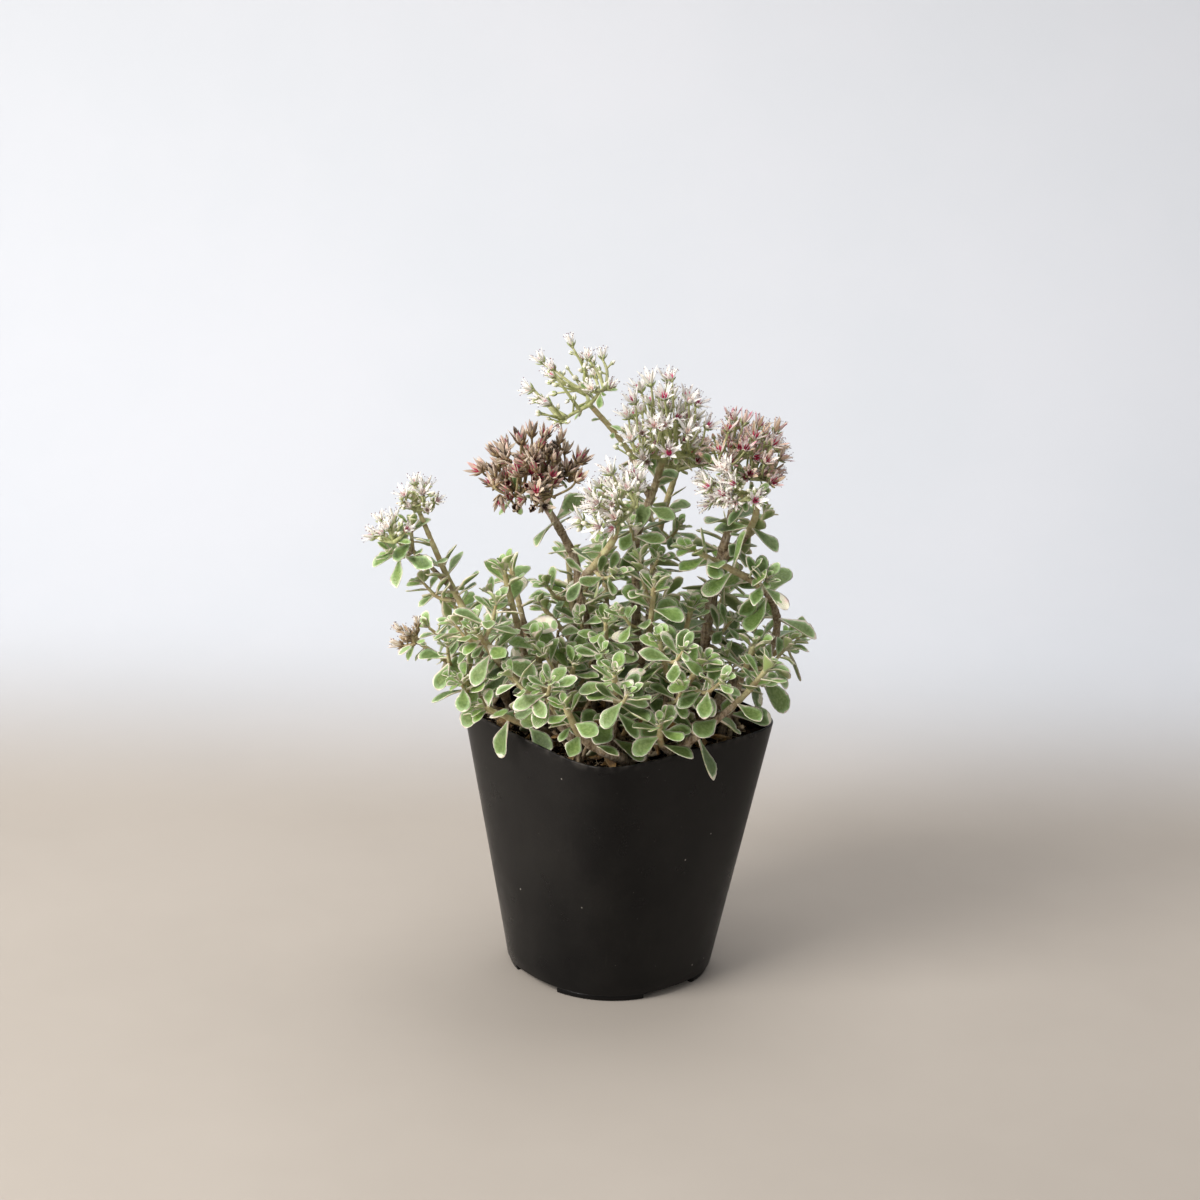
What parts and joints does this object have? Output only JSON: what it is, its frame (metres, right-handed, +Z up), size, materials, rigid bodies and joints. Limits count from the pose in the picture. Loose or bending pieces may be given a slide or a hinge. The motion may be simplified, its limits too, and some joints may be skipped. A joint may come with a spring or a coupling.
{
  "type": "potted succulent plant",
  "caption": "Bushy creeping succulent with cream-edged leaves and flat heads of small pink and white star flowers, in a tapered square nursery pot.",
  "frame": {"origin": "middle of the whole plant's box, on the table the pot stands on", "axes": "+Z up along the pot's axis, -Y towards the front corner of the pot, +X to the right seen from the front"},
  "size_m": [0.1782, 0.1364, 0.2633],
  "materials": {
    "pot": "satin black moulded plastic with fine scuffs and dust",
    "soil": "damp dark potting mix with fibres and chips",
    "leaf": "fleshy satin leaves, green with irregular cream margins flushed pink, on matte brown bark and green young stems",
    "petal_white": "matte white petals flushed pink, on yellow-green stalks",
    "petal_pink": "matte pink and white petals round crimson middles",
    "petal_faded": "dry taupe-brown and rose petals"
  },
  "bodies": {
    "root": {"pot": "pot", "soil": "soil", "stem_tall_centre": "leaf", "stem_tall_left": "leaf", "stem_tall_right": "leaf", "stem_arching_right": "leaf", "stem_left_truss": "leaf", "stem_left_low": "leaf", "stem_back_flower": "leaf", "shoot_front_centre": "leaf", "shoot_old_wood": "leaf", "shoot_front_right": "leaf", "shoot_right_rim": "leaf", "shoot_left_upright": "leaf", "shoot_middle": "leaf", "shoot_bare_wood": "leaf", "shoot_right_back_low": "leaf", "shoot_right_side": "leaf", "shoot_middle_right": "leaf", "shoot_left_front": "leaf", "shoot_left_side": "leaf", "shoot_centre_back": "leaf", "shoot_back_left": "leaf", "shoot_back_centre": "leaf", "shoot_back_right": "leaf", "head_tall_centre": "petal_white", "head_green_truss": "petal_white", "head_faded": "petal_faded", "head_front": "petal_white", "head_pink_right": "petal_pink", "head_white_right": "petal_white", "head_left_top": "petal_white", "head_left_side": "petal_white", "head_left_low": "petal_faded", "head_back": "petal_pink"}
  },
  "joints": []
}
